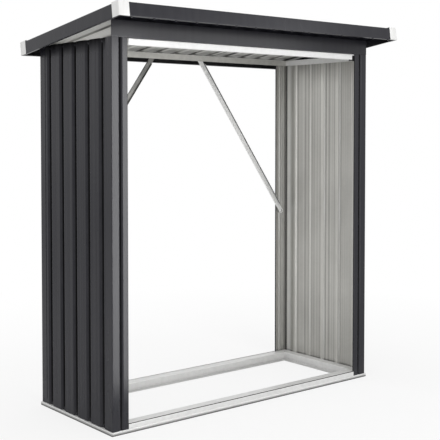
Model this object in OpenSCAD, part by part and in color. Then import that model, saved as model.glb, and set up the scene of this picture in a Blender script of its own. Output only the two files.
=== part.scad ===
// Log store: a lean-to of folded sheet steel, open at the front and at the back.
// The front faces -Y and up is +Z. The origin lies on the ground under the middle of the roof.

/* [Store] */
// Width over the base rails
base_w = 1586; // [1300:1:1900]
// Depth over the base rails
base_d = 622; // [560:1:760]
// Height of the posts and walls above the ground
wall_h = 1695; // [1400:1:1900]
// Thickness of the folded sheet
sheet_t = 1.2; // [0.8:0.1:1.6]
// Clearance between pieces that seat on each other
fit = 0.2; // [0.1:0.05:0.4]

/* [Base rails] */
// Height of the outer lip that carries posts and walls
lip_h = 16; // [10:0.5:24]
// How far the lip stands out past the posts
reveal = 5; // [3:0.5:12]
// Height of the flat top of the rail
rail_h = 37; // [30:0.5:50]
// Width of the flat top of the rail
rail_top_w = 49; // [35:1:70]
// Width of the foot flange on the ground
foot_w = 34; // [26:1:45]
// Diameter of an anchor hole
anchor_d = 10; // [8:0.5:12]
// Distance of the anchor holes from the ends of the rail
anchor_inset = 190; // [170:5:300]

/* [Posts] */
// Width of the post's face
post_w = 83; // [76:1:110]
// Width of the plain band between the corner and the groove
post_band = 36; // [30:1:46]
// Width of the bottom of the groove in the face
post_groove_w = 8; // [5:0.5:12]
// Run of each sloping flank of that groove
post_groove_flank = 6; // [3:0.5:8]
// Depth of that groove
post_groove_depth = 8; // [4:0.5:9]
// Width of the flange that laps over the wall
post_flange = 44; // [36:1:50]
// Depth of the return at the inner edge
post_return = 9; // [5:0.5:12]

/* [Corrugated sheet] */
// Distance from groove to groove
rib_pitch = 112; // [104:1:118]
// Depth of a groove
rib_depth = 9; // [6:0.5:12]
// Width of a groove's bottom
rib_bottom = 20; // [14:1:28]
// Run of a groove's sloping flank
rib_flank = 8; // [6:0.5:12]
// Least flat left between a sheet's edge and its first groove
rib_edge = 24; // [16:1:28]

/* [Top frame] */
// Height and depth of the top rails
top_rail = 28; // [22:1:32]
// Gap between the front top rail and each post
rail_gap = 12; // [4:1:30]
// Depth of the header's flanges
header_flange = 30; // [20:1:40]
// Width of a brace
brace_w = 27; // [20:1:32]
// Height of a brace's flanges
brace_flange = 10; // [6:1:14]
// Distance of a brace's upper end from the middle
brace_top_x = 147; // [120:1:260]
// Height of a brace's lower bolt above the ground
brace_low_z = 843; // [600:1:1000]
// Diameter of a brace's bolt holes
brace_hole_d = 6; // [5:0.5:8]

/* [Roof] */
// Overhang of the trims past the base at each side
side_over = 55; // [40:1:120]
// Overhang of the trims past the base at the rear
rear_over = 67.5; // [40:0.5:120]
// Fall of the roof to the rear, in degrees
roof_slope = 7.65; // [4:0.05:12]
// Overhang of the trims past the base at the front
front_over = 151; // [120:1:180]
// Height of a trim
trim_h = 59; // [54:1:72]
// Width of a trim's top
trim_top_w = 30; // [24:1:40]
// Width of a trim's lower hem
trim_hem_w = 12; // [8:1:20]
// Height of the sheet's grooves above the lower edge of the trims
trim_drop = 33; // [26:1:36]
// Overlap of the roof sheets
roof_lap = 24; // [16:1:34]
// Length of a corner cap along each trim
cap_len = 50; // [40:1:70]
// How far a cap stands out past the trims
cap_proud = 1.6; // [1.2:0.1:3]
// Height of a cap's top above the trims
cap_rise = 5.5; // [3:0.5:8]

/* [Hidden] */
$fn = 48;

paint = [0.25, 0.25, 0.26];
zinc = [0.72, 0.72, 0.70];
white_plastic = [0.93, 0.93, 0.93];

// Overrun of every cut
over = 2;
// Half of the gap left in a mitred corner
mitre_gap = fit;

// Body: the box over the posts, inside the lip of the base rails
body_w = base_w - 2 * reveal;
body_d = base_d - 2 * reveal;
post_z = lip_h + fit;

// Places across a wall, inwards from the face of the posts
wall_in = sheet_t + fit;
wall_depth = rib_depth + sheet_t;
wall_back = wall_in + wall_depth;
wall_flat_in = wall_in + sheet_t + fit;

// Places behind the face of a post: the braces lie on it, and the top rails lie on the braces
brace_in = max(post_groove_depth + sheet_t, post_return) + fit;
rail_in = brace_in + sheet_t + fit;
rail_back = rail_in + top_rail + fit;

// Base rail: the riser stands behind the wall's grooves
riser_u = reveal + wall_back + fit;
rail_back_u = riser_u + rail_top_w;
foot_u = rail_back_u + foot_w;
anchor_u = rail_back_u + foot_w / 2;
stop_w = 2 * sheet_t;

// Roof: its own frame starts at the lower front edge of the trims
roof_w = base_w + 2 * side_over;
roof_len = (front_over + base_d + rear_over) / cos(roof_slope);
roof_box_d = (roof_len + 2 * cap_proud) * cos(roof_slope) + (trim_h + cap_rise) * sin(roof_slope);
roof_y = cap_proud * cos(roof_slope) - roof_box_d / 2;
base_y = roof_y + front_over;
body_y = base_y + reveal;
rear_y = body_y + body_d;
mid_y = base_y + base_d / 2;
roof_z = wall_h + fit + (rear_y - roof_y) * tan(roof_slope) - trim_drop / cos(roof_slope);
lap_rise = sheet_t + fit;
crest_n = trim_drop + wall_depth + lap_rise + fit;
sheet_edge = sheet_t + fit;

// Grooves: each is a flat bottom between two flanks
rib_shoulder = rib_bottom / 2 + rib_flank;
roof_ribs = rib_places(roof_w - 2 * sheet_edge);
roof_sheet_count = 3;

// Height of the underside of the roof's grooves at a place along Y
function groove_z(y) = wall_h + fit + (rear_y - y) * tan(roof_slope);

// Centres of the grooves that fit across a width, evenly about its middle
function rib_places(width) =
    let (count = floor((width - 2 * (rib_edge + rib_shoulder)) / rib_pitch) + 1)
    [for (i = [0 : count - 1]) (i - (count - 1) / 2) * rib_pitch];

// Folded strips: the left side of a path, and the way its corners mitre
function reversed(list) = [for (i = [len(list) - 1 : -1 : 0]) list[i]];
function left_of(a, b) = let (along = (b - a) / norm(b - a)) [-along.y, along.x];
function corner_way(path, i) =
    let (last = len(path) - 1)
    let (before = i > 0 ? left_of(path[i - 1], path[i]) : left_of(path[0], path[1]))
    let (after = i < last ? left_of(path[i], path[i + 1]) : before)
    (before + after) / (1 + before * after);

// Shapes that repeat

// A strip of sheet folded along a path, which is its right face
module folded(path) {
    left_face = [for (i = [0 : len(path) - 1]) path[i] + sheet_t * corner_way(path, i)];
    polygon(concat(path, reversed(left_face)));
}

// Stand a profile up and draw it out along X, centred, with its first axis turned to +Y
module run(length) {
    rotate([90, 0, 90])
        linear_extrude(height = length, center = true)
            children();
}

// One side of a rectangular ring, cut at 45 degrees at both ends
module mitred(length, depth, low, high) {
    half = length / 2 - mitre_gap;
    intersection() {
        run(length) children();
        translate([0, 0, low - over])
            linear_extrude(height = high - low + 2 * over)
                polygon([[-half, 0], [half, 0], [half - depth, depth], [-half + depth, depth]]);
    }
}

// Put a front side in the place of another side of a ring of this width and depth
module on_side(side, w, d) {
    turn = side == "front" ? 0 : side == "right" ? 90 : side == "rear" ? 180 : 270;
    reach = side == "front" || side == "rear" ? d / 2 : w / 2;
    rotate(turn)
        translate([0, -reach, 0])
            children();
}

// Mirror a front left piece to another corner
module at_corner(right, rear) {
    mirror([right ? 1 : 0, 0, 0])
        mirror([0, rear ? 1 : 0, 0])
            children();
}

// Section of a corrugated sheet: flats above, grooves below, from one edge to the other
module corrugated(first, last, places) {
    foot = rib_bottom / 2;
    groove = [[-rib_shoulder, wall_depth], [-foot, sheet_t], [foot, sheet_t], [rib_shoulder, wall_depth]];
    folded(reversed(concat(
        [[first, wall_depth]],
        [for (c = places) for (p = groove) [c + p.x, p.y]],
        [[last, wall_depth]]
    )));
}

// Base rails

module base_section() {
    folded([
        [foot_u, sheet_t], [rail_back_u, sheet_t], [rail_back_u, rail_h], [riser_u, rail_h],
        [riser_u, lip_h], [0, lip_h], [0, 0]
    ]);
}

module base_rail(side) {
    length = side == "front" || side == "rear" ? base_w : base_d;
    open_side = side == "front" || side == "rear";
    stop_length = body_w - 2 * (post_w + fit);
    color(zinc)
        translate([0, mid_y, 0])
            on_side(side, base_w, base_d)
                difference() {
                    union() {
                        mitred(length, foot_u, 0, rail_h) base_section();
                        if (open_side)
                            translate([0, reveal, lip_h - sheet_t])
                                run(stop_length) square([stop_w, rail_h - lip_h + sheet_t]);
                    }
                    if (open_side)
                        for (x = [-1, 1] * (length / 2 - anchor_inset))
                            translate([x, anchor_u, -over])
                                cylinder(h = sheet_t + 2 * over, d = anchor_d);
                }
}

module base_rail_front() { base_rail("front"); }
module base_rail_rear() { base_rail("rear"); }
module base_rail_left() { base_rail("left"); }
module base_rail_right() { base_rail("right"); }

// Corner posts, drawn at the front left corner of the body

module post_section() {
    groove_first = post_band + post_groove_flank;
    groove_last = groove_first + post_groove_w;
    folded([
        [0, post_flange], [0, 0], [post_band, 0],
        [groove_first, post_groove_depth], [groove_last, post_groove_depth],
        [groove_last + post_groove_flank, 0], [post_w, 0], [post_w, post_return]
    ]);
}

module post(right, rear) {
    notch_y = wall_back - fit;
    color(paint)
        translate([0, mid_y, 0])
            at_corner(right, rear)
                translate([-body_w / 2, -body_d / 2, post_z])
                    difference() {
                        linear_extrude(height = wall_h - post_z) post_section();
                        translate([sheet_t + over, notch_y, -over])
                            cube([post_w, post_flange, rail_h + fit - post_z + over]);
                    }
}

module post_front_left() { post(false, false); }
module post_front_right() { post(true, false); }
module post_rear_left() { post(false, true); }
module post_rear_right() { post(true, true); }

// Side walls: the flats face outwards and the edges lap behind the posts

module wall(right) {
    half = body_d / 2 - wall_in;
    color(paint)
        translate([0, mid_y, 0])
            at_corner(right, false)
                translate([-body_w / 2 + wall_back, 0, post_z])
                    rotate(90)
                        linear_extrude(height = wall_h - post_z)
                            corrugated(-half, half, rib_places(2 * half));
}

module wall_left() { wall(false); }
module wall_right() { wall(true); }

// Top rails: channels inside the posts and walls, open below

module channel() {
    folded([[top_rail, 0], [top_rail, top_rail], [0, top_rail], [0, 0]]);
}

module top_rail_x(rear, length) {
    color(zinc)
        translate([0, mid_y, wall_h - top_rail])
            at_corner(false, rear)
                translate([0, -body_d / 2 + rail_in, 0])
                    run(length) channel();
}

module top_rail_y(right) {
    color(zinc)
        translate([0, mid_y + (rail_in - rail_back) / 2, wall_h - top_rail])
            at_corner(right, false)
                translate([-body_w / 2 + wall_back + fit + top_rail, 0, 0])
                    rotate(90)
                        run(body_d - rail_in - rail_back) channel();
}

module top_rail_front() { top_rail_x(false, body_w - 2 * (post_w + rail_gap)); }
module top_rail_rear() { top_rail_x(true, body_w - 2 * wall_flat_in); }
module top_rail_left() { top_rail_y(false); }
module top_rail_right() { top_rail_y(true); }

// Front header: a riser on the front posts, with its top on the roof's slope

module front_header() {
    back = body_y + header_flange;
    color(paint)
        run(body_w)
            folded([
                [back, groove_z(back) - fit], [body_y, groove_z(body_y) - fit],
                [body_y, wall_h + fit], [back, wall_h + fit]
            ]);
}

// Rear braces: channels from the grooves of the rear posts up to the back of the rear rail

module brace(right) {
    top = [-brace_top_x, wall_h - top_rail / 2];
    low = [-body_w / 2 + post_band + post_groove_flank + post_groove_w / 2, brace_low_z];
    span = norm(top - low);
    tilt = atan2(top.y - low.y, top.x - low.x);
    end = brace_w / 2;
    tab = 1.5 * brace_w;
    color(zinc)
        mirror([right ? 1 : 0, 0, 0])
            translate([low.x, rear_y - brace_in, low.y])
                rotate([90, 0, 0])
                    rotate(tilt) {
                        linear_extrude(height = sheet_t)
                            difference() {
                                union() {
                                    translate([0, -end]) square([span, brace_w]);
                                    circle(d = brace_w);
                                    translate([span, 0]) circle(d = brace_w);
                                }
                                for (x = [0, span]) translate([x, 0]) circle(d = brace_hole_d);
                            }
                        for (side = [-end, end - sheet_t])
                            translate([tab, side, 0])
                                cube([span - 2 * tab, sheet_t, brace_flange]);
                    }
}

module brace_left() { brace(false); }
module brace_right() { brace(true); }

// Roof: drawn flat with its front edge on X, then laid on the slope

module on_roof() {
    translate([0, roof_y, roof_z])
        rotate([-roof_slope, 0, 0])
            children();
}

// Place of the seam before a sheet, halfway between two grooves
function roof_first(k) = floor(k * len(roof_ribs) / roof_sheet_count);
function roof_seam(k) = (roof_ribs[roof_first(k) - 1] + roof_ribs[roof_first(k)]) / 2;

module roof_sheet(k) {
    edge = roof_w / 2 - sheet_edge;
    first = k == 0 ? -edge : roof_seam(k) - roof_lap / 2;
    last = k == roof_sheet_count - 1 ? edge : roof_seam(k + 1) + roof_lap / 2;
    places = [for (i = [roof_first(k) : roof_first(k + 1) - 1]) roof_ribs[i]];
    lift = k % 2 == 0 ? 0 : lap_rise;
    color(paint)
        on_roof()
            translate([0, roof_len - sheet_edge, trim_drop + lift])
                rotate([90, 0, 0])
                    linear_extrude(height = roof_len - 2 * sheet_edge)
                        corrugated(first, last, places);
}

module roof_sheet_left() { roof_sheet(0); }
module roof_sheet_middle() { roof_sheet(1); }
module roof_sheet_right() { roof_sheet(2); }

module trim_section() {
    folded([
        [trim_top_w, crest_n], [trim_top_w, trim_h], [0, trim_h], [0, 0], [trim_hem_w, 0]
    ]);
}

module roof_trim(side) {
    length = side == "front" || side == "rear" ? roof_w : roof_len;
    color(paint)
        on_roof()
            translate([0, roof_len / 2, 0])
                on_side(side, roof_w, roof_len)
                    mitred(length, trim_top_w, 0, trim_h) trim_section();
}

module roof_trim_front() { roof_trim("front"); }
module roof_trim_rear() { roof_trim("rear"); }
module roof_trim_left() { roof_trim("left"); }
module roof_trim_right() { roof_trim("right"); }

// Corner caps: plastic shells over the corners of the trims

module roof_cap(right, rear) {
    outer = cap_len + cap_proud;
    wall = cap_proud - fit;
    height = trim_h + cap_rise;
    color(white_plastic)
        on_roof()
            translate([0, roof_len / 2, 0])
                at_corner(right, rear)
                    translate([-roof_w / 2 - cap_proud, -roof_len / 2 - cap_proud, 0])
                        difference() {
                            cube([outer, outer, height]);
                            translate([wall, wall, -over])
                                cube([outer, outer, trim_h + fit + over]);
                        }
}

module roof_cap_front_left() { roof_cap(false, false); }
module roof_cap_front_right() { roof_cap(true, false); }
module roof_cap_rear_left() { roof_cap(false, true); }
module roof_cap_rear_right() { roof_cap(true, true); }

base_rail_front();
base_rail_rear();
base_rail_left();
base_rail_right();
post_front_left();
post_front_right();
post_rear_left();
post_rear_right();
wall_left();
wall_right();
top_rail_front();
top_rail_rear();
top_rail_left();
top_rail_right();
front_header();
brace_left();
brace_right();
roof_sheet_left();
roof_sheet_middle();
roof_sheet_right();
roof_trim_front();
roof_trim_rear();
roof_trim_left();
roof_trim_right();
roof_cap_front_left();
roof_cap_front_right();
roof_cap_rear_left();
roof_cap_rear_right();
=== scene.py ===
"""Log store of folded sheet steel: finished sheets, rails, caps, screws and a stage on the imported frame."""

import math

import bmesh
import bpy
from bpy.props import FloatProperty, FloatVectorProperty, IntProperty, PointerProperty
from bpy.types import Operator, Panel, PropertyGroup
from mathutils import Matrix, Vector


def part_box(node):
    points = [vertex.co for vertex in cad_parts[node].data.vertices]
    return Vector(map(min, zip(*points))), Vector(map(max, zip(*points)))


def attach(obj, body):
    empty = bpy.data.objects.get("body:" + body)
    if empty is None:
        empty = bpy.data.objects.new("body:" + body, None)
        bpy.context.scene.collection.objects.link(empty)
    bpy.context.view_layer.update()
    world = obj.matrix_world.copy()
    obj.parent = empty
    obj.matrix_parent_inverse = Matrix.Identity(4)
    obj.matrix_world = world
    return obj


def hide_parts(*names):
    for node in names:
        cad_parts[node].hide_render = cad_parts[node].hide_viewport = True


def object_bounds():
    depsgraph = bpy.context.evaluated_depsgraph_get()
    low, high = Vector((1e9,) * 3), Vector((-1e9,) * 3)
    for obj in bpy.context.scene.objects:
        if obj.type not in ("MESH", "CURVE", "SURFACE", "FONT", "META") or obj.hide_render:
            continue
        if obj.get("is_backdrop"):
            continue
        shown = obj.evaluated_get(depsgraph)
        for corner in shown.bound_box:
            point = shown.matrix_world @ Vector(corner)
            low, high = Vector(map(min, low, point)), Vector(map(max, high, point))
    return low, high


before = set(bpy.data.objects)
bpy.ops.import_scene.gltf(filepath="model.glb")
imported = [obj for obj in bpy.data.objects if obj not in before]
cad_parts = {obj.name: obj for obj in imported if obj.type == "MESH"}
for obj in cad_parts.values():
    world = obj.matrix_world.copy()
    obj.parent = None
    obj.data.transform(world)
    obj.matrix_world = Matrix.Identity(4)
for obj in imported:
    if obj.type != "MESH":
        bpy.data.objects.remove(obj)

bl_info = {
    "name": "Log store",
    "version": (1, 0, 0),
    "blender": (4, 5, 0),
    "location": "View3D > Sidebar > Log store",
    "description": "Dresses the frame of a sheet steel log store",
    "category": "Object",
}

CAD_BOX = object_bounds()
BODY = "root"
SIDES = ("front", "rear", "left", "right")
FRONT_AND_REAR = ("front", "rear")
CORNERS = ("front_left", "front_right", "rear_left", "rear_right")
SHEETS = ("left", "middle", "right")
PAINTED = "painted_steel"
GALVANISED = "galvanised_steel"
PLASTIC = "white_plastic"

# Angles and distances of the mesh work
SHARP_CUT = math.radians(36)
SHARP_RIB = math.radians(50)
FOLD_STEP = math.radians(24)
STRAIGHT = 0.01
ONE_POINT = 0.00001


def linear(red, green, blue):
    """A colour as the scene's linear values, from its screen values of 0 to 255."""
    parts = []
    for value in (red, green, blue):
        share = value / 255
        parts.append(share / 12.92 if share <= 0.04045 else ((share + 0.055) / 1.055) ** 2.4)
    return tuple(parts)


def length(name, description, default):
    """A length property in metres."""
    return FloatProperty(name=name, description=description, default=default, unit="LENGTH", precision=4)


def angle(name, description, degrees):
    """An angle property whose default is given in degrees."""
    return FloatProperty(name=name, description=description, default=math.radians(degrees), subtype="ANGLE")


def number(name, description, default, unit="NONE"):
    """A number property, with a unit where one fits."""
    return FloatProperty(name=name, description=description, default=default, unit=unit)


def count(name, description, default):
    """A whole number property."""
    return IntProperty(name=name, description=description, default=default)


def colour(name, description, screen):
    """A colour property whose default is given in screen values."""
    return FloatVectorProperty(name=name, description=description, default=linear(*screen), subtype="COLOR",
                               min=0, max=1)


class LogStoreSizes(PropertyGroup):
    """Sizes of the folded sheet pieces."""

    sheet: length("Sheet", "Thickness of the sheet steel", 0.0012)
    fit: length("Fit", "Room between pieces that touch", 0.0002)
    bend: length("Bend", "Radius at the middle of a folded sheet", 0.0016)
    lip_height: length("Lip height", "Height of the low lip round the base", 0.016)
    rail_height: length("Rail height", "Height of the base rails", 0.037)
    rail_top: length("Rail top", "Width of the top of a base rail", 0.049)
    rail_foot: length("Rail foot", "Width of the foot of a base rail", 0.034)
    reveal: length("Reveal", "How far the walls stand in from the base", 0.005)
    fixing_hole: length("Fixing hole", "Diameter of the holes in the feet", 0.010)
    fixing_inset: length("Fixing inset", "From the end of a base rail to its hole", 0.190)
    post_width: length("Post width", "Width of a post's face", 0.083)
    post_band: length("Post band", "From the corner to the groove in a post", 0.036)
    post_groove: length("Post groove", "Width of the bottom of a post's groove", 0.008)
    post_flank: length("Post flank", "Width of each flank of a post's groove", 0.006)
    post_groove_depth: length("Post groove depth", "Depth of a post's groove", 0.004)
    post_side: length("Post side", "Width of a post's side on the wall", 0.044)
    post_return: length("Post return", "Depth of a post's folded inner edge", 0.009)
    rib_pitch: length("Rib pitch", "Distance between two grooves of a sheet", 0.112)
    rib_depth: length("Rib depth", "Depth of a sheet's grooves", 0.009)
    rib_bottom: length("Rib bottom", "Width of the bottom of a groove", 0.020)
    rib_flank: length("Rib flank", "Width of each flank of a groove", 0.008)
    rib_step: length("Rib step", "Distance between two mesh lines across a sheet", 0.002)
    sheet_rows: count("Sheet rows", "Mesh rows along a corrugated sheet", 28)
    fold_rows: count("Fold rows", "Mesh rows along a long folded piece", 12)
    sheet_waviness: length("Sheet waviness", "How far a flat strays from a plane", 0.0004)
    # Painted light and shade inside the walls: where the rear flat is painted bright and where a dark seam is
    # painted
    wall_lit: length("Wall lit", "From the rear of a wall to where its inside turns bright", 0.055)
    wall_seam_shade: length("Wall seam", "From the rear of a wall to the dark seam inside", 0.018)
    seam_fade: length("Seam fade", "Width over which the seam turns dark", 0.006)
    top_rail: length("Top rail", "Height and depth of a top rail", 0.028)
    # Painted shade: the front end of a side rail under the roof gets the black finish
    rail_shaded_end: length("Rail dip", "Length of the primed front end of a side rail under the roof", 0.075)
    header_flange: length("Header flange", "Depth of the header's two flanges", 0.030)
    header_gap: length("Header gap", "Shadow gap between the header and the roof", 0.008)
    # Painted shade under the eave: how far the roof's underside is darkened with the paint colour, and where
    # that starts
    eave_shade_reach: length("Eave reach", "How far behind the header the roof's underside is painted", 0.080)
    eave_shade_end: length("Eave end", "Width over which that paint starts at the header's end", 0.002)
    shade_fade: length("Shade fade", "Width over which a wall's or the eave's tone changes", 0.020)
    roof_fall: angle("Roof fall", "Fall of the roof to the rear", 7.65)
    trim_height: length("Trim height", "Height of the roof trim", 0.059)
    trim_top: length("Trim top", "Width of the trim's top", 0.030)
    trim_hem: length("Trim hem", "Width of the trim's lower edge", 0.012)
    sheet_drop: length("Sheet drop", "From the trim's lower edge up to the roof grooves", 0.033)
    roof_lap: length("Roof lap", "How far two roof sheets lap", 0.024)
    lap_margin: length("Lap margin", "From the roof's edge to the first screw of a lap", 0.120)
    lap_screws: count("Lap screws", "Screws along a lap", 4)
    long_trim_screws: count("Long trim screws", "Screws on the front or rear trim", 7)
    short_trim_screws: count("Short trim screws", "Screws on a side trim", 4)
    cap_length: length("Cap length", "Length of a corner cap along the trim", 0.050)
    cap_proud: length("Cap proud", "How far a corner cap stands out from the trim", 0.0016)
    cap_rise: length("Cap rise", "How far a corner cap stands above the trim", 0.0055)
    cap_round: length("Cap round", "Radius of a corner cap's edges", 0.004)
    cap_wall: length("Cap wall", "Wall of a corner cap", 0.0014)
    edge_break: length("Edge break", "Radius of the edges of a brace", 0.0004)
    brace_width: length("Brace width", "Width of a brace", 0.027)
    screw_head: length("Screw head", "Radius of a screw's head", 0.0042)
    screw_washer: length("Screw washer", "Radius of a screw's washer", 0.0065)
    bolt_head: length("Bolt head", "Radius of a brace bolt's head", 0.0060)
    bolt_washer: length("Bolt washer", "Radius of a brace bolt's washer", 0.0090)


class LogStoreColours(PropertyGroup):
    """Colours of the finishes."""

    paint: colour("Paint", "Anthracite paint of the outside", (37, 37, 43))
    # Painted shade: a dark colour that stands in for the shade in the grooves and along the sheets' top end,
    # and the base of the black finish laid where the store lies in shade
    painted_shade_colour: colour("Groove paint", "Paint and grime in the grooves", (15, 15, 16))
    paint_worn: colour("Worn paint", "Paint where a fold is rubbed", (70, 70, 74))
    dust: colour("Dust", "Dust that gathers low down", (98, 98, 101))
    zinc: colour("Zinc", "Pale zinc of the inside", (205, 204, 199))
    zinc_shade: colour("Zinc shade", "Dark zinc of the inside", (141, 140, 136))
    roof_zinc: colour("Roof zinc", "Pale zinc under the roof", (210, 210, 206))
    roof_zinc_shade: colour("Roof zinc shade", "Dark zinc under the roof", (158, 158, 155))
    rail_zinc: colour("Rail zinc", "Pale zinc of the rails", (232, 232, 231))
    rail_zinc_shade: colour("Rail zinc shade", "Dark zinc of the rails", (208, 208, 207))
    # Painted highlight: a pale zinc that stands in for light caught along the folds, and the light tone of
    # the lit copies of the zinc
    painted_highlight_zinc: colour("Bright zinc", "Zinc along the folds", (248, 248, 247))
    # Painted shade: a dark zinc that stands in for the shade at the seam inside a wall and on the flanges and
    # left front of the braces
    painted_shade_zinc: colour("Dull zinc", "Zinc in the shelter of a fold", (104, 104, 103))
    # Soiling and painted shade: darkens the foot of the zinc pieces, and is painted as shade into the rails'
    # slots, the flanks under the roof and the brace flanges
    stain_and_shade: colour("Stain", "Damp stain along the foot of the base", (62, 61, 60))
    plastic: colour("Plastic", "White plastic of the corner caps", (240, 240, 239))
    plastic_shade: colour("Plastic shade", "Soiled white plastic", (222, 221, 217))
    floor: colour("Floor", "Studio floor", (250, 250, 250))


class LogStoreStage(PropertyGroup):
    """Camera, floor and light."""

    camera_place: FloatVectorProperty(name="Camera place", description="Where the camera stands",
                                      default=(-2.9649, -3.6573, 1.3034), subtype="XYZ", unit="LENGTH")
    camera_yaw: angle("Camera yaw", "Turn of the camera from +Y towards +X", 39.22)
    camera_pitch: angle("Camera pitch", "How far the camera looks down", 2.11)
    camera_lens: number("Camera lens", "Focal length in millimetres", 77.87, unit="CAMERA")
    camera_shift: number("Camera shift", "Upright shift of the lens", -0.125)
    floor_half: length("Floor half", "Half the width of the floor", 30)
    floor_drop: length("Floor drop", "How far the floor lies under the store", 0.0005)
    shadow_near: length("Shadow near", "How far from the middle the shadow shows in full", 1.2)
    shadow_far: length("Shadow far", "How far from the middle the floor turns white", 3.2)
    floor_glow: number("Floor glow", "Share of plain white in the floor near the store", 0.78)
    sky_light: number("Sky light", "Strength of the light from all round", 0.74)
    card_light: number("Card light", "Power of the card that the left post shows", 7.2, unit="POWER")
    wide_card_light: number("Wide card light", "Power of the card that the header shows", 20, unit="POWER")
    front_light: number("Front light", "Power of the high front lamp", 50, unit="POWER")
    rear_light: number("Rear light", "Power of the lamp behind the store", 24, unit="POWER")


# Nodes

def add_node(tree, kind, inputs=None, **settings):
    """A node in a tree, with its settings, and its inputs set to a value or linked to a socket."""
    node = tree.nodes.new(kind)
    for key, value in settings.items():
        setattr(node, key, value)
    for key, value in (inputs or {}).items():
        if isinstance(value, bpy.types.NodeSocket):
            tree.links.new(value, node.inputs[key])
        else:
            node.inputs[key].default_value = value
    return node


def maths(tree, operation, first, second=0.0, clamp=False):
    """The result of a Math node in a shader or geometry tree."""
    node = add_node(tree, "ShaderNodeMath", {0: first, 1: second}, operation=operation, use_clamp=clamp)
    return node.outputs[0]


def opposite(tree, value):
    """One less a value, held between 0 and 1."""
    return maths(tree, "SUBTRACT", 1.0, value, clamp=True)


def spread(tree, value, low, high, first, last):
    """A value moved from one range to another and held inside it."""
    ranges = {"Value": value, "From Min": low, "From Max": high, "To Min": first, "To Max": last}
    return add_node(tree, "ShaderNodeMapRange", ranges).outputs[0]


def opaque(value):
    """A colour property as the four values of a node's socket."""
    return (*value, 1.0)


def blend_colours(tree, factor, first, second):
    """Two colours mixed by a factor."""
    node = add_node(tree, "ShaderNodeMix", {0: factor, 6: first, 7: second}, data_type="RGBA")
    return node.outputs[2]


def object_place(tree):
    """Where a point of the surface is."""
    return add_node(tree, "ShaderNodeTexCoord").outputs["Object"]


def object_part(tree, axis):
    """Where a point of the surface is along one axis."""
    return add_node(tree, "ShaderNodeSeparateXYZ", {0: object_place(tree)}).outputs[axis]


def object_range(tree, axis, start, end):
    """A value that rises from 0 to 1 between two places on an axis."""
    return spread(tree, object_part(tree, axis), start, end, 0.0, 1.0)


def mark(tree, name):
    """A mark that the mesh carries on its points."""
    return add_node(tree, "ShaderNodeAttribute", attribute_name=name).outputs["Fac"]


def noise(tree, place, scale, detail, result="Fac"):
    """The value or the colour of a noise."""
    inputs = {"Vector": place, "Scale": scale, "Detail": detail}
    return add_node(tree, "ShaderNodeTexNoise", inputs).outputs[result]


def stretched_noise(tree, place, scales, detail):
    """The value of a noise with its own scale along each axis."""
    stretched = add_node(tree, "ShaderNodeMapping", {"Vector": place, "Scale": scales}).outputs[0]
    return noise(tree, stretched, scale=1.0, detail=detail)


def add_socket(group, label, way, value):
    """A named socket of a group, from its default value or, where it has none, the name of its kind."""
    kind = {float: "Float", int: "Int", tuple: "Vector"}.get(type(value), value)
    socket = group.interface.new_socket(label, in_out=way, socket_type="NodeSocket" + kind)
    if kind != value:
        socket.default_value = value


def new_group(name, kind, inputs, outputs):
    """An empty node group with named sockets, and its input and output nodes."""
    group = bpy.data.node_groups.new(name, kind)
    for label, value in inputs.items():
        add_socket(group, label, "INPUT", value)
    for label, value in outputs.items():
        add_socket(group, label, "OUTPUT", value)
    return group, group.nodes.new("NodeGroupInput").outputs, group.nodes.new("NodeGroupOutput").inputs


def use_group(tree, name, inputs):
    """A shared group placed in a material with this material's own values."""
    return add_node(tree, "ShaderNodeGroup", inputs, node_tree=bpy.data.node_groups[name]).outputs


# Effects that the finishes share

def ripple_group():
    """Bump height of rolled sheet: slow waves of the flats and the fine skin of the finish."""
    inputs = {"Wave Scale": 3.0, "Wave Amount": 1.0, "Skin Scale": 700.0, "Skin Amount": 0.05}
    group, given, result = new_group("sheet_ripple", "ShaderNodeTree", inputs, {"Height": "Float"})
    place = object_place(group)
    wave = noise(group, place, given["Wave Scale"], detail=1.0)
    skin = noise(group, place, given["Skin Scale"], detail=2.0)
    slow = maths(group, "MULTIPLY", wave, given["Wave Amount"])
    fine = maths(group, "MULTIPLY", skin, given["Skin Amount"])
    group.links.new(maths(group, "ADD", slow, fine), result["Height"])


def weather_group():
    """Colour and dullness of a surface out of doors: rain streaks, cloudy shade, and dust from the ground."""
    inputs = {
        "Colour": "Color", "Dust": "Color", "Dust Height": 0.25, "Dust Amount": 0.25,
        "Streak Scale": (24.0, 24.0, 0.7), "Streak Amount": 0.12}
    outputs = {"Colour": "Color", "Dullness": "Float"}
    group, given, result = new_group("weather", "ShaderNodeTree", inputs, outputs)
    dust_falloff = 2.2
    place = object_place(group)
    streak = stretched_noise(group, place, given["Streak Scale"], detail=2.0)
    cloud = noise(group, place, scale=4.0, detail=4.0)
    grit = noise(group, place, scale=160.0, detail=3.0)
    streaked = maths(group, "MULTIPLY", spread(group, streak, 0.38, 0.68, 0.0, 1.0), given["Streak Amount"])
    streaked = maths(group, "MULTIPLY", streaked, spread(group, cloud, 0.3, 0.7, 0.35, 1.0))
    rise = maths(group, "DIVIDE", object_part(group, "Z"), given["Dust Height"])
    near_ground = maths(group, "POWER", opposite(group, rise), dust_falloff)
    settled = maths(group, "MULTIPLY", near_ground, spread(group, grit, 0.3, 0.7, 0.7, 1.0))
    settled = maths(group, "MULTIPLY", settled, given["Dust Amount"])
    cover = maths(group, "ADD", streaked, settled, clamp=True)
    group.links.new(blend_colours(group, cover, given["Colour"], given["Dust"]), result["Colour"])
    group.links.new(cover, result["Dullness"])


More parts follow.
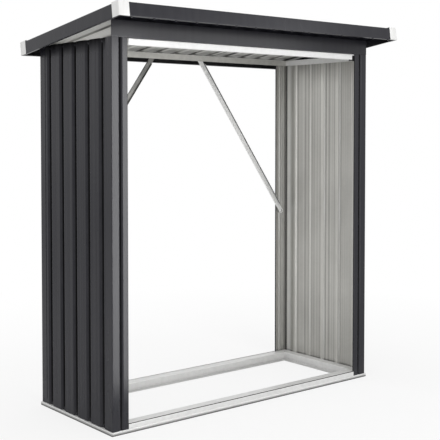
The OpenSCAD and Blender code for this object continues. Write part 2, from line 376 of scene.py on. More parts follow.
def fold_group():
    """Mask of the folds and edges of a sheet, broken up so that only parts of them are marked: worn paint on
    the paint finishes, painted highlights on most zinc and painted shade on the zinc under the roof.
    """
    inputs = {"Amount": 0.6, "Patch Scale": 26.0}
    group, given, result = new_group("fold_wear_and_light", "ShaderNodeTree", inputs, {"Mask": "Float"})
    patch = noise(group, object_place(group), given["Patch Scale"], detail=4.0)
    wear_and_light = maths(group, "MULTIPLY", mark(group, "fold"), spread(group, patch, 0.4, 0.66, 0.25, 1.0))
    group.links.new(maths(group, "MULTIPLY", wear_and_light, given["Amount"], clamp=True), result["Mask"])


def spangle_group():
    """Colour, roughness and height of rolled zinc: long grain, fine crystals and a slow cloud."""
    inputs = {
        "Light": "Color", "Dark": "Color", "Grain Scale": (60.0, 60.0, 0.5), "Grain Amount": 0.6,
        "Crystal Scale": 120.0, "Crystal Amount": 0.2}
    outputs = {"Colour": "Color", "Roughness": "Float", "Height": "Float"}
    group, given, result = new_group("zinc_spangle", "ShaderNodeTree", inputs, outputs)
    crystal_bend = 0.012
    place = object_place(group)
    grain = stretched_noise(group, place, given["Grain Scale"], detail=1.5)
    way = noise(group, place, scale=55.0, detail=2.0, result="Color")
    bend = add_node(group, "ShaderNodeVectorMath", {0: way, "Scale": crystal_bend}, operation="SCALE")
    bent = add_node(group, "ShaderNodeVectorMath", {0: place, 1: bend.outputs[0]}, operation="ADD")
    crystal = add_node(group, "ShaderNodeTexVoronoi", {
        "Vector": bent.outputs[0], "Scale": given["Crystal Scale"]})
    tone = add_node(group, "ShaderNodeSeparateColor", {0: crystal.outputs["Color"]}).outputs[0]
    cloud = noise(group, place, scale=3.0, detail=3.0)
    shade = maths(group, "MULTIPLY", spread(group, grain, 0.32, 0.68, 0.0, 1.0), given["Grain Amount"])
    shade = maths(group, "ADD", shade, maths(group, "MULTIPLY", tone, given["Crystal Amount"]))
    shade = maths(group, "ADD", shade, spread(group, cloud, 0.3, 0.7, -0.1, 0.15), clamp=True)
    group.links.new(blend_colours(group, shade, given["Light"], given["Dark"]), result["Colour"])
    group.links.new(spread(group, shade, 0.0, 1.0, 0.24, 0.38), result["Roughness"])
    group.links.new(grain, result["Height"])


def rippled(tree, waves, skin):
    """Height of rolled sheet, from the scale and amount of its waves and of its skin."""
    inputs = {"Wave Scale": waves[0], "Wave Amount": waves[1], "Skin Scale": skin[0], "Skin Amount": skin[1]}
    return use_group(tree, "sheet_ripple", inputs)["Height"]


def weathered(tree, fresh, dust, settled, streaks):
    """A fresh colour out of doors, from the height and amount of dust and the scale and amount of streaks."""
    return use_group(tree, "weather", {
        "Colour": fresh, "Dust": opaque(dust), "Dust Height": settled[0], "Dust Amount": settled[1],
        "Streak Scale": streaks[0], "Streak Amount": streaks[1]})


def worn_and_lit_folds(tree, amount, patch_scale):
    """Mask of the folds: wear on the paint finishes, painted highlight and shade on the zinc."""
    return use_group(tree, "fold_wear_and_light", {"Amount": amount, "Patch Scale": patch_scale})["Mask"]


# Finishes

def new_finish(name):
    """A material's tree and its Principled shader."""
    material = bpy.data.materials.new(name)
    material.use_nodes = True
    tree = material.node_tree
    return tree, tree.nodes["Principled BSDF"]


def bump(tree, shader, height, strength, distance):
    """A height as the shader's normal."""
    node = add_node(tree, "ShaderNodeBump", {"Height": height, "Strength": strength, "Distance": distance})
    tree.links.new(node.outputs[0], shader.inputs["Normal"])


def paint_finish(name, colours, streaks, dust_amount, gloss=0.26):
    """Satin anthracite paint on sheet steel, worn at the folds, with painted shade in the marked grooves:
    darker, duller and without reflection.
    """
    dust_height = 0.22
    groove_dullness = 0.3
    fold_polish = 0.08
    tree, shader = new_finish(name)
    groove = mark(tree, "groove")
    face = opposite(tree, groove)
    # Painted shade: the marked grooves and edges take the dark colour
    fresh = blend_colours(tree, groove, opaque(colours.paint), opaque(colours.painted_shade_colour))
    weather = weathered(tree, fresh, colours.dust, (dust_height, dust_amount), streaks)
    wear_and_light = maths(tree, "MULTIPLY", worn_and_lit_folds(tree, amount=0.35, patch_scale=22.0), face)
    shade = blend_colours(tree, wear_and_light, weather["Colour"], opaque(colours.paint_worn))
    tree.links.new(shade, shader.inputs["Base Color"])
    dull = spread(tree, weather["Dullness"], 0.0, 0.4, 0.25, 0.46)
    dull = maths(tree, "ADD", dull, maths(tree, "MULTIPLY", groove, groove_dullness))
    dull = maths(tree, "SUBTRACT", dull, maths(tree, "MULTIPLY", wear_and_light, fold_polish))
    tree.links.new(dull, shader.inputs["Roughness"])
    shader.inputs["Specular IOR Level"].default_value = gloss
    # Painted shade: the reflection is taken out where the mark is
    tree.links.new(maths(tree, "MULTIPLY", face, gloss), shader.inputs["Specular IOR Level"])
    height = rippled(tree, waves=(2.6, 1.0), skin=(520.0, 0.02))
    bump(tree, shader, height, strength=0.3, distance=0.003)


def shade_black_finish(name, colours):
    """Painted shade: a dull black finish inside the rear trim and on the front ends of the side rails under
    the roof, where they lie in shade.
    """
    tree, shader = new_finish(name)
    cloudy = ((20.0, 20.0, 20.0), 0.5)
    dustless = (0.1, 0.0)
    weather = weathered(tree, opaque(colours.painted_shade_colour), colours.paint, dustless, cloudy)
    tree.links.new(weather["Colour"], shader.inputs["Base Color"])
    shader.inputs["Roughness"].default_value = 0.6
    shader.inputs["Specular IOR Level"].default_value = 0.2


def zinc_finish(name, colours, tones, grain, metallic, dull, slots=False, wear_and_light=0.7, eave=None, wall=None):
    """Hot dipped zinc on sheet steel, darker at its foot with soiling and painted contact shade. Tones are
    its light, its dark and the painted highlight on its folds, which under the roof is painted shade. With
    slots the marked grooves get painted shade. Eave gives the ranges along X and Y over which the painted
    shade over the header starts and stops. Wall gives the ranges along Y over which the painted fold
    highlights fade, painted light turns the last flat bright and painted shade turns the seam dark."""
    foot_dark_height = 0.02
    foot_dark_amount = 0.3
    streak_amount = 0.05
    foot_dullness = 0.3
    grain_relief = 0.004
    tree, shader = new_finish(name)
    light, dark, fold = (opaque(tone) for tone in tones)
    grain_scale, grain_amount = grain
    spangle = use_group(tree, "zinc_spangle", {
        "Light": light, "Dark": dark, "Grain Scale": grain_scale, "Grain Amount": grain_amount,
        "Crystal Scale": 130.0, "Crystal Amount": 0.05})
    # Painted highlights: the folds take the third tone, pale on most zinc; under the roof it is dark, painted
    # shade on the flanks
    folds = worn_and_lit_folds(tree, wear_and_light, patch_scale=3.0)
    # Painted light inside a wall: the fold highlights fade towards the rear, the last flat is painted bright
    # and the seam by the post is painted dark
    if wall:
        fade, lit, seam = (object_range(tree, "Y", *ends) for ends in wall)
        folds = maths(tree, "MULTIPLY", folds, opposite(tree, fade))
        folds = maths(tree, "ADD", folds, lit, clamp=True)
    fresh = blend_colours(tree, folds, spangle["Colour"], fold)
    if wall:
        fresh = blend_colours(tree, seam, fresh, opaque(colours.painted_shade_zinc))
    # Painted shade: the marked slots take the dark colour
    if slots:
        fresh = blend_colours(tree, mark(tree, "groove"), fresh, opaque(colours.stain_and_shade))
    shader.inputs["Metallic"].default_value = metallic
    # Painted shade: over the header the underside takes the paint colour and loses its reflection and metal
    # sheen
    if eave:
        across, along = eave
        bare = object_range(tree, "Y", *along)
        shade = maths(tree, "MULTIPLY", opposite(tree, bare), object_range(tree, "X", *across))
        fresh = blend_colours(tree, shade, fresh, opaque(colours.paint))
        for label in ("Specular IOR Level", "Metallic"):
            plain = shader.inputs[label].default_value
            tree.links.new(spread(tree, shade, 0.0, 1.0, plain, 0.0), shader.inputs[label])
    # Darker and duller towards the ground: soiling and painted contact shade
    darker_foot = (foot_dark_height, foot_dark_amount)
    weather = weathered(tree, fresh, colours.stain_and_shade, darker_foot, (grain_scale, streak_amount))
    tree.links.new(weather["Colour"], shader.inputs["Base Color"])
    rough = maths(tree, "MULTIPLY", weather["Dullness"], foot_dullness)
    rough = maths(tree, "ADD", spangle["Roughness"], rough)
    tree.links.new(maths(tree, "ADD", rough, dull), shader.inputs["Roughness"])
    relief = maths(tree, "MULTIPLY", spangle["Height"], grain_relief)
    height = maths(tree, "ADD", rippled(tree, waves=(3.0, 1.0), skin=(300.0, 0.01)), relief)
    bump(tree, shader, height, strength=0.12, distance=0.002)


def plastic_finish(name, colours):
    """White moulded plastic, a little soiled."""
    tree, shader = new_finish(name)
    soiled = ((60.0, 60.0, 8.0), 0.5)
    dusty = (0.1, 0.1)
    weather = weathered(tree, opaque(colours.plastic), colours.plastic_shade, dusty, soiled)
    tree.links.new(weather["Colour"], shader.inputs["Base Color"])
    tree.links.new(spread(tree, weather["Dullness"], 0.0, 0.5, 0.36, 0.52), shader.inputs["Roughness"])
    height = rippled(tree, waves=(20.0, 0.1), skin=(1400.0, 0.12))
    bump(tree, shader, height, strength=0.2, distance=0.001)


class LOGSTORE_OT_finishes(Operator):
    """Makes the shared shader groups and the finishes"""

    bl_idname = "log_store.finishes"
    bl_label = "Finishes"

    def execute(self, context):
        colours = context.scene.log_store_colours
        sizes = context.scene.log_store_sizes
        for make_group in (ripple_group, weather_group, fold_group, spangle_group):
            make_group()
        self.paints(colours)
        self.sheet_zinc(colours, sizes)
        self.rail_zinc(colours)
        plastic_finish("white_moulding", colours)
        return {"FINISHED"}

    def paints(self, colours):
        """The paints, by how their streaks run."""
        upright = ((26.0, 26.0, 0.6), 0.06)
        down_wall = ((60.0, 60.0, 0.08), 0.16)
        down_roof = ((26.0, 0.7, 0.7), 0.06)
        dusty = 0.14
        paint_finish("anthracite_paint", colours, upright, dusty)
        paint_finish("anthracite_wall_paint", colours, down_wall, dusty, gloss=0.2)
        paint_finish("anthracite_roof_paint", colours, down_roof, 0.0)
        paint_finish("anthracite_screw_paint", colours, upright, 0.0)
        shade_black_finish("painted_shade_black", colours)

    def sheet_zinc(self, colours, sizes):
        """The zinc of the large sheets, with painted light and shade inside the walls and painted shade under
        the roof over the header.
        """
        inside = (colours.zinc, colours.zinc_shade, colours.painted_highlight_zinc)
        # Painted shade: under the roof the folds take the dark colour
        under_roof = (colours.roof_zinc, colours.roof_zinc_shade, colours.stain_and_shade)
        down_wall = ((70.0, 70.0, 0.04), 0.7)
        down_roof = ((70.0, 0.04, 0.04), 0.6)
        zinc_finish("inside_zinc", colours, inside, down_wall, metallic=0.6, dull=0.05)
        # Painted light and shade inside the walls: where the fold highlights fade, where the last flat turns
        # bright and where the seam turns dark
        low, high = corners_of("wall_left")
        lit = high.y - sizes.wall_lit
        seam = high.y - sizes.wall_seam_shade
        wall = ((low.y, high.y), (lit, lit + sizes.shade_fade), (seam, seam + sizes.seam_fade))
        zinc_finish("wall_zinc", colours, inside, down_wall, metallic=0.6, dull=0.05, wall=wall)
        # Painted shade: how far the roof's underside is darkened over the header
        low, high = corners_of("front_header")
        reach = high.y + sizes.eave_shade_reach
        eave = ((low.x, low.x + sizes.eave_shade_end), (reach - sizes.shade_fade, reach))
        zinc_finish("roof_zinc", colours, under_roof, down_roof, metallic=0.1, dull=0.1, wear_and_light=1.5,
                    eave=eave)

    def rail_zinc(self, colours):
        """The zinc of the rails, braces and bolts, with lit and shaded copies that are painted light and
        shade.
        """
        rails = (colours.rail_zinc, colours.rail_zinc_shade, colours.painted_highlight_zinc)
        # Painted light: a brighter copy of the rail zinc
        lit = (colours.painted_highlight_zinc, colours.rail_zinc, colours.painted_highlight_zinc)
        # Painted shade: darker copies of the zinc for the rear rail, the brace rears, the left brace's front
        # and the brace flanges
        shaded = (colours.zinc, colours.zinc_shade, colours.painted_highlight_zinc)
        shaded_brace = (colours.zinc_shade, colours.painted_shade_zinc, colours.zinc_shade)
        channel = (colours.painted_shade_zinc, colours.stain_and_shade, colours.painted_shade_zinc)
        even = ((40.0, 40.0, 40.0), 0.12)
        smooth = ((4.0, 4.0, 4.0), 0.1)
        cloudy = ((9.0, 9.0, 9.0), 0.7)
        # Painted shade: the base rails' marked slots take the dark colour
        zinc_finish("rail_zinc", colours, rails, even, metallic=0.08, dull=0.12, slots=True)
        zinc_finish("lit_rail_zinc", colours, lit, even, metallic=0.08, dull=0.12)
        zinc_finish("shaded_rail_zinc", colours, shaded, even, metallic=0.3, dull=0.12)
        zinc_finish("brace_zinc", colours, lit, smooth, metallic=0.15, dull=0.12)
        zinc_finish("shaded_brace_zinc", colours, shaded_brace, cloudy, metallic=0.3, dull=0.12)
        zinc_finish("brace_channel_zinc", colours, channel, smooth, metallic=0.2, dull=0.12)
        zinc_finish("bolt_zinc", colours, rails, even, metallic=0.9, dull=0.0)


def finish(name):
    """A finish by its name."""
    return bpy.data.materials[name]


# Folded sheet

def left_of(start, end):
    """Unit vector to the left of the way from one profile point to the next."""
    way = (end - start).normalized()
    return Vector((-way.y, way.x))


def offset_line(points, distance):
    """A profile line moved to its left, with its corners kept sharp."""
    moved = []
    for index, point in enumerate(points):
        before = left_of(points[index - 1], point) if index else None
        after = left_of(point, points[index + 1]) if index < len(points) - 1 else None
        before = before or after
        after = after or before
        way = (before + after) / (1 + before.dot(after))
        moved.append(point + way * distance)
    return moved


def hold_flat(line, end, radius):
    """Adds points near both ends of a flat stretch, so that only the folds are shaded round."""
    start = line[-1][0]
    way = end - start
    if way.length > 3 * radius:
        way.normalize()
        line.append((start + way * radius, 0.0))
        line.append((end - way * radius, 0.0))


def rounded_line(points, radius):
    """A profile line with rounded corners: each point with 1 where the sheet is folded, 0 on the flats."""
    line = [(points[0], 0.0)]
    for before, corner, after in zip(points, points[1:], points[2:]):
        way_in = (corner - before).normalized()
        way_out = (after - corner).normalized()
        turn = math.atan2(way_in.x * way_out.y - way_in.y * way_out.x, way_in.dot(way_out))
        if abs(turn) < STRAIGHT:
            line.append((corner, 0.0))
            continue
        start = corner - way_in * radius * math.tan(abs(turn) / 2)
        centre = start + Vector((-way_in.y, way_in.x)) * math.copysign(radius, turn)
        hold_flat(line, start, radius)
        steps = max(2, math.ceil(abs(turn) / FOLD_STEP))
        spoke = start - centre
        for step in range(steps + 1):
            part = turn * step / steps
            turned = Vector((spoke.x * math.cos(part) - spoke.y * math.sin(part),
                             spoke.x * math.sin(part) + spoke.y * math.cos(part)))
            line.append((centre + turned, 1.0))
    hold_flat(line, points[-1], radius)
    line.append((points[-1], 0.0))
    return line


def sheet_mesh(corners, ends, place, sizes, runs=1, in_groove=None):
    """Folded sheet along a run. The corners are the profile of its right face, the ends give where the run
    starts and stops at a point of the profile, and place turns run and profile into a place. Faces of the
    right side get material 0 and those of the left side 1. Points for which in_groove is true are marked."""
    points = [Vector(corner) for corner in corners]
    line = rounded_line(offset_line(points, sizes.sheet / 2), sizes.bend)
    middle = [point for point, fold in line]
    faces_of = (offset_line(middle, -sizes.sheet / 2), offset_line(middle, sizes.sheet / 2))
    mesh = bmesh.new()
    fold_layer = mesh.verts.layers.float.new("fold")
    groove_layer = mesh.verts.layers.float.new("groove")
    columns = []
    for index, (point, fold) in enumerate(line):
        pair = []
        for face in faces_of:
            across, up = face[index]
            first, last = ends(across, up)
            column = []
            for run in range(runs + 1):
                vertex = mesh.verts.new(place(first + (last - first) * run / runs, across, up))
                vertex[fold_layer] = fold
                vertex[groove_layer] = 1.0 if in_groove and in_groove(across, up) else 0.0
                column.append(vertex)
            pair.append(column)
        columns.append(pair)
    for near, far in zip(columns, columns[1:]):
        for run in range(runs):
            for side in (0, 1):
                quad = (near[side][run], far[side][run], far[side][run + 1], near[side][run + 1])
                mesh.faces.new(quad).material_index = side
        for run in (0, runs):
            mesh.faces.new((near[0][run], near[1][run], far[1][run], far[0][run]))
    for pair in (columns[0], columns[-1]):
        for run in range(runs):
            mesh.faces.new((pair[0][run], pair[0][run + 1], pair[1][run + 1], pair[1][run]))
    bmesh.ops.recalc_face_normals(mesh, faces=mesh.faces)
    return mesh


def mitred(half):
    """Ends of a piece that is mitred at both ends: each point stops as far short as it stands in."""
    return lambda across, up: (across - half, half - across)


def square(half):
    """Ends of a piece that is cut square at both ends."""
    return lambda across, up: (-half, half)


def half_along(side, low, high):
    """Half the length of one side of a rectangle."""
    axis = 0 if side in FRONT_AND_REAR else 1
    return (high[axis] - low[axis]) / 2


def side_place(side, low, high):
    """Place of a run round a rectangle: along the side, in from it, and up."""
    middle = (low + high) / 2
    places = {
        "front": lambda run, across, up: Vector((middle.x + run, low.y + across, up)),
        "rear": lambda run, across, up: Vector((middle.x - run, high.y - across, up)),
        "left": lambda run, across, up: Vector((low.x + across, middle.y - run, up)),
        "right": lambda run, across, up: Vector((high.x - across, middle.y + run, up)),
    }
    return places[side]


def ways_in(corner):
    """The ways along X and Y from a corner into the store, as 1 or -1."""
    return (1 if corner.endswith("left") else -1, 1 if corner.startswith("front") else -1)


# Pieces and the frame

def corners_of(node):
    """Lowest and highest corner of a CAD node."""
    low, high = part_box(node)
    return Vector(low), Vector(high)


def box_of(nodes):
    """Lowest and highest corner of several CAD nodes."""
    boxes = [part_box(node) for node in nodes]
    low = Vector([min(box[0][axis] for box in boxes) for axis in range(3)])
    high = Vector([max(box[1][axis] for box in boxes) for axis in range(3)])
    return low, high


def new_object(name, data):
    """An object in the scene."""
    thing = bpy.data.objects.new(name, data)
    bpy.context.scene.collection.objects.link(thing)
    return thing


def new_piece(name, mesh, finishes):
    """An object from a bmesh, smooth on its folds and sharp on its cut edges."""
    data = bpy.data.meshes.new(name)
    mesh.to_mesh(data)
    mesh.free()
    for material in finishes:
        data.materials.append(finish(material))
    data.shade_smooth()
    data.set_sharp_from_angle(angle=SHARP_CUT)
    return new_object(name, data)


def round_edges(piece, width, limit):
    """Gives a piece a modifier that rounds the edges that turn more than a limit in degrees."""
    edges = piece.modifiers.new("edges", "BEVEL")
    edges.width = width
    edges.segments = 2
    edges.limit_method = "ANGLE"
    edges.angle_limit = math.radians(limit)


def baked(piece):
    """The piece with its modifiers turned into plain mesh."""
    graph = bpy.context.evaluated_depsgraph_get()
    data = bpy.data.meshes.new_from_object(piece.evaluated_get(graph), depsgraph=graph)
    piece.modifiers.clear()
    piece.data = data
    return piece


def keep(piece, slot, *nodes):
    """The finished piece joined to the frame in place of its CAD nodes."""
    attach(piece, BODY)
    if nodes:
        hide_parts(*nodes)


class LOGSTORE_OT_base_rails(Operator):
    """Makes the four mitred base rails with their lip, stop and foot"""

    bl_idname = "log_store.base_rails"
    bl_label = "Base rails"

    def execute(self, context):
        sizes = context.scene.log_store_sizes
        nodes = ["base_rail_" + side for side in SIDES]
        low, high = box_of(nodes)
        posts_low, posts_high = box_of(["post_" + corner for corner in CORNERS])
        riser = sizes.reveal + 2 * sizes.fit + 2 * sizes.sheet + sizes.rib_depth
        back = riser + sizes.rail_top
        foot = back + sizes.rail_foot
        profile = (
            (foot, sizes.sheet), (back, sizes.sheet), (back, sizes.rail_height), (riser, sizes.rail_height),
            (riser, sizes.lip_height), (0, sizes.lip_height), (0, 0))
        stop_half = (posts_high.x - posts_low.x) / 2 - sizes.post_width - sizes.fit

        # Painted shade: the slot behind the stop and the lowest part of the lip are marked for a dark colour
        # of the rail zinc
        def painted_shade_at(across, up):
            on_riser = abs(across - riser) < sizes.sheet
            in_slot = sizes.lip_height < up < sizes.rail_height - sizes.fit
            at_ground = across < 2 * sizes.sheet and up < sizes.lip_height / 3
            return (on_riser and in_slot) or at_ground

        for side, node in zip(SIDES, nodes):
            half = half_along(side, low, high) - sizes.fit
            place = side_place(side, low, high)
            mesh = sheet_mesh(profile, mitred(half), place, sizes, in_groove=painted_shade_at)
            piece = new_piece(node + "_sheet", mesh, ("rail_zinc", "rail_zinc"))
            if side in FRONT_AND_REAR:
                hole_run = half - sizes.fixing_inset
                self.drill(piece, [place(run, (back + foot) / 2, 0) for run in (-hole_run, hole_run)], sizes)
                self.add_stop(piece, stop_half, place, sizes)
            keep(piece, GALVANISED, node)
        return {"FINISHED"}

    def add_stop(self, piece, half, place, sizes):
        """Sets the stop, a doubled sheet with a round fold on top, on the ledge of a rail."""
        fold_steps = 8
        middle = sizes.reveal + sizes.sheet
        foot = sizes.lip_height - sizes.sheet
        outline = [(middle - sizes.sheet, foot), (middle + sizes.sheet, foot)]
        for step in range(fold_steps + 1):
            turn = math.pi * step / fold_steps
            outline.append((middle + sizes.sheet * math.cos(turn),
                            sizes.rail_height - sizes.sheet + sizes.sheet * math.sin(turn)))
        mesh = bmesh.new()
        mesh.from_mesh(piece.data)
        rings = [[mesh.verts.new(place(run, across, up)) for across, up in outline] for run in (-half, half)]
        made = [mesh.faces.new(ring) for ring in rings]
        for index in range(len(outline)):
            after = (index + 1) % len(outline)
            made.append(mesh.faces.new((rings[0][index], rings[0][after], rings[1][after], rings[1][index])))
        bmesh.ops.recalc_face_normals(mesh, faces=made)
        for face in made:
            face.smooth = True
        mesh.to_mesh(piece.data)
        mesh.free()
        piece.data.set_sharp_from_angle(angle=SHARP_CUT)

    def drill(self, piece, places, sizes):
        """Cuts the fixing holes through a foot."""
        radius = sizes.fixing_hole / 2
        mesh = bmesh.new()
        for point in places:
            bmesh.ops.create_cone(mesh, cap_ends=True, segments=32, radius1=radius, radius2=radius,
                                  depth=10 * sizes.sheet, matrix=Matrix.Translation(point))
        cutter = new_piece("fixing_drill", mesh, ())
        cut = piece.modifiers.new("fixing_holes", "BOOLEAN")
        cut.object = cutter
        cut.solver = "EXACT"
        baked(piece)
        bpy.data.objects.remove(cutter)


class LOGSTORE_OT_posts(Operator):
    """Makes the four corner posts, each one folded sheet with a groove down its face"""

    bl_idname = "log_store.posts"
    bl_label = "Corner posts"

    def execute(self, context):
        sizes = context.scene.log_store_sizes
        notch = 2 * sizes.sheet + sizes.rib_depth
        notch_top = sizes.rail_height + sizes.fit
        step = sizes.fit / 4
        groove = sizes.post_band + sizes.post_flank
        groove_end = groove + sizes.post_groove
        band_start = groove_end + sizes.post_flank
        depth = sizes.post_groove_depth
        profile = (
            (0, sizes.post_side), (0, notch + step), (0, notch), (0, 0), (sizes.post_band, 0),
            (groove, depth), (groove_end, depth), (band_start, 0), (sizes.post_width, 0),
            (sizes.post_width, sizes.post_return))
        for corner in CORNERS:
            node = "post_" + corner
            low, high = corners_of(node)
            way_x, way_y = ways_in(corner)
            start_x = low.x if way_x > 0 else high.x
            start_y = low.y if way_y > 0 else high.y

            def ends(across, up):
                return (low.z if up < notch + step / 2 else notch_top, high.z)

            def place(run, across, up):
                return Vector((start_x + way_x * across, start_y + way_y * up, run))

            # Painted shade: the bottom of the post's groove is marked for the dark colour
            def in_groove(across, up):
                return groove + step < across < groove_end - step and depth - step < up < depth + step

            mesh = sheet_mesh(profile, ends, place, sizes, runs=sizes.fold_rows, in_groove=in_groove)
            keep(new_piece(node + "_sheet", mesh, ("anthracite_paint", "inside_zinc")), PAINTED, node)
        return {"FINISHED"}


# Geometry trees

def store_mark(tree, geometry, name, value, data_type="FLOAT", domain="POINT"):
    """A geometry with a named mark on its points or faces."""
    return add_node(tree, "GeometryNodeStoreNamedAttribute", {
        "Geometry": geometry, "Name": name, "Value": value}, data_type=data_type, domain=domain).outputs[0]


def read_mark(tree, name, data_type):
    """A named mark of a geometry."""
    return add_node(tree, "GeometryNodeInputNamedAttribute", {"Name": name}, data_type=data_type).outputs[0]


def together(tree, *parts):
    """Several geometries as one."""
    node = add_node(tree, "GeometryNodeJoinGeometry")
    for part in parts:
        tree.links.new(part, node.inputs[0])
    return node.outputs[0]


def realized(tree, geometry):
    """A geometry with its instances made real."""
    return add_node(tree, "GeometryNodeRealizeInstances", {"Geometry": geometry}).outputs[0]


def with_finish(tree, geometry, material, selection=True):
    """A geometry with a finish on all its faces, or on a selection of them."""
    return add_node(tree, "GeometryNodeSetMaterial", {
        "Geometry": geometry, "Selection": selection, "Material": material}).outputs[0]


def corrugated_tree():
    """Geometry of a corrugated sheet: a flat grid pressed into grooves at an even pitch, with a thickness. It
    marks its folds, and marks its groove bottoms and its top end for painted shade.
    """
    inputs = {
        "Geometry": "Geometry", "Width": 0.6, "Run": 1.6, "Centre": 0.0, "Pitch": 0.112, "Depth": 0.009,
        "Bottom": 0.02, "Flank": 0.008, "Thickness": 0.0012, "Columns": 300, "Rows": 20, "Waviness": 0.0005,
        "Seed": 1.0, "Outside": "Material", "Inside": "Material"}
    tree, given, result = new_group("corrugated_sheet", "GeometryNodeTree", inputs, {"Geometry": "Geometry"})
    top_edge = 0.001
    wave_scale = 5.0
    groove_narrowing = 6.0
    full_at_middle = 4.0
    grid = add_node(tree, "GeometryNodeMeshGrid", {
        "Size X": given["Width"], "Size Y": given["Run"], "Vertices X": given["Columns"],
        "Vertices Y": given["Rows"]}).outputs["Mesh"]
    place = add_node(tree, "GeometryNodeInputPosition").outputs[0]
    parts = add_node(tree, "ShaderNodeSeparateXYZ", {0: place}).outputs
    across = maths(tree, "ADD", parts["X"], given["Centre"])
    half_pitch = maths(tree, "MULTIPLY", given["Pitch"], 0.5)
    across = maths(tree, "FLOORED_MODULO", maths(tree, "ADD", across, half_pitch), given["Pitch"])
    from_groove = maths(tree, "ABSOLUTE", maths(tree, "SUBTRACT", across, half_pitch))
    half_bottom = maths(tree, "MULTIPLY", given["Bottom"], 0.5)
    from_bottom = maths(tree, "SUBTRACT", from_groove, half_bottom)
    rise = maths(tree, "DIVIDE", from_bottom, given["Flank"], clamp=True)
    sunk = opposite(tree, rise)
    fold = maths(tree, "MULTIPLY", maths(tree, "MULTIPLY", rise, sunk), full_at_middle)
    wave = add_node(tree, "ShaderNodeTexNoise", {
        "Vector": place, "W": given["Seed"], "Scale": wave_scale, "Detail": 1.0}, noise_dimensions="4D")
    stray = maths(tree, "MULTIPLY", maths(tree, "SUBTRACT", wave.outputs[0], 0.5), given["Waviness"])
    height = maths(tree, "ADD", maths(tree, "MULTIPLY", rise, given["Depth"]), stray)
    lift = add_node(tree, "ShaderNodeCombineXYZ", {"Z": height}).outputs[0]
    pressed = add_node(tree, "GeometryNodeSetPosition", {"Geometry": grid, "Offset": lift}).outputs[0]
    # Painted shade: the mark is full at the groove bottoms and along the sheet's top end, which on the walls
    # lies in the shade under the roof
    from_top = maths(tree, "SUBTRACT", maths(tree, "MULTIPLY", given["Run"], 0.5), parts["Y"])
    at_top = maths(tree, "LESS_THAN", from_top, top_edge)
    painted_shade_mark = maths(tree, "MAXIMUM", maths(tree, "POWER", sunk, groove_narrowing), at_top)
    marked = store_mark(tree, pressed, "fold", fold)
    marked = store_mark(tree, marked, "groove", painted_shade_mark)
    outer = add_node(tree, "GeometryNodeExtrudeMesh", {
        "Mesh": marked, "Offset Scale": given["Thickness"], "Individual": False}).outputs["Mesh"]
    inner = add_node(tree, "GeometryNodeFlipFaces", {"Mesh": marked}).outputs[0]
    inner = store_mark(tree, inner, "inside", True, "BOOLEAN", "FACE")
    closed = add_node(tree, "GeometryNodeMergeByDistance", {
        "Geometry": together(tree, outer, inner), "Distance": ONE_POINT}).outputs[0]
    painted = with_finish(tree, realized(tree, closed), given["Outside"])
    coated = with_finish(tree, painted, given["Inside"], read_mark(tree, "inside", "BOOLEAN"))
    tree.links.new(coated, result["Geometry"])
    return tree


def tree_piece(name, tree, values, points=None):
    """A plain mesh object from a geometry tree with these input values, and points for it to work on."""
    data = bpy.data.meshes.new(name)
    if points:
        data.from_pydata([place for place, facing in points], [], [])
        facing_layer = data.attributes.new("facing", "FLOAT_VECTOR", "POINT")
        for item, (place, facing) in zip(facing_layer.data, points):
            item.vector = facing
    piece = new_object(name, data)
    modifier = piece.modifiers.new("tree", "NODES")
    modifier.node_group = tree
    sockets = {item.name: item.identifier for item in tree.interface.items_tree if item.in_out == "INPUT"}
    for label, value in values.items():
        modifier[sockets[label]] = value
    return baked(piece)


def corrugated_piece(name, tree, sizes, width, run, centre, place, seed, outside, inside):
    """One corrugated sheet, put in its place."""
    piece = tree_piece(name, tree, {
        "Width": width, "Run": run, "Centre": centre, "Pitch": sizes.rib_pitch, "Depth": sizes.rib_depth,
        "Bottom": sizes.rib_bottom, "Flank": sizes.rib_flank, "Thickness": sizes.sheet,
        "Columns": round(width / sizes.rib_step) + 1, "Rows": sizes.sheet_rows,
        "Waviness": sizes.sheet_waviness, "Seed": seed, "Outside": finish(outside), "Inside": finish(inside)})
    piece.data.transform(place)
    piece.data.shade_smooth()
    piece.data.set_sharp_from_angle(angle=SHARP_RIB)
    return piece


class LOGSTORE_OT_walls(Operator):
    """Makes the two corrugated side walls, painted outside and bare zinc inside"""

    bl_idname = "log_store.walls"
    bl_label = "Side walls"

    def execute(self, context):
        sizes = context.scene.log_store_sizes
        tree = corrugated_tree()
        for side, out, seed in (("left", -1, 1.0), ("right", 1, 2.0)):
            node = "wall_" + side
            low, high = corners_of(node)
            middle = (low + high) / 2
            inner = high.x if side == "left" else low.x
            place = Matrix(((0, 0, out, inner), (out, 0, 0, middle.y), (0, 1, 0, middle.z), (0, 0, 0, 1)))
            # The inside takes the wall zinc, with painted light and shade near the rear
            piece = corrugated_piece(node + "_sheet", tree, sizes, high.y - low.y, high.z - low.z, 0.0, place,
                                     seed, "anthracite_wall_paint", "wall_zinc")
            keep(piece, PAINTED, node)
        return {"FINISHED"}


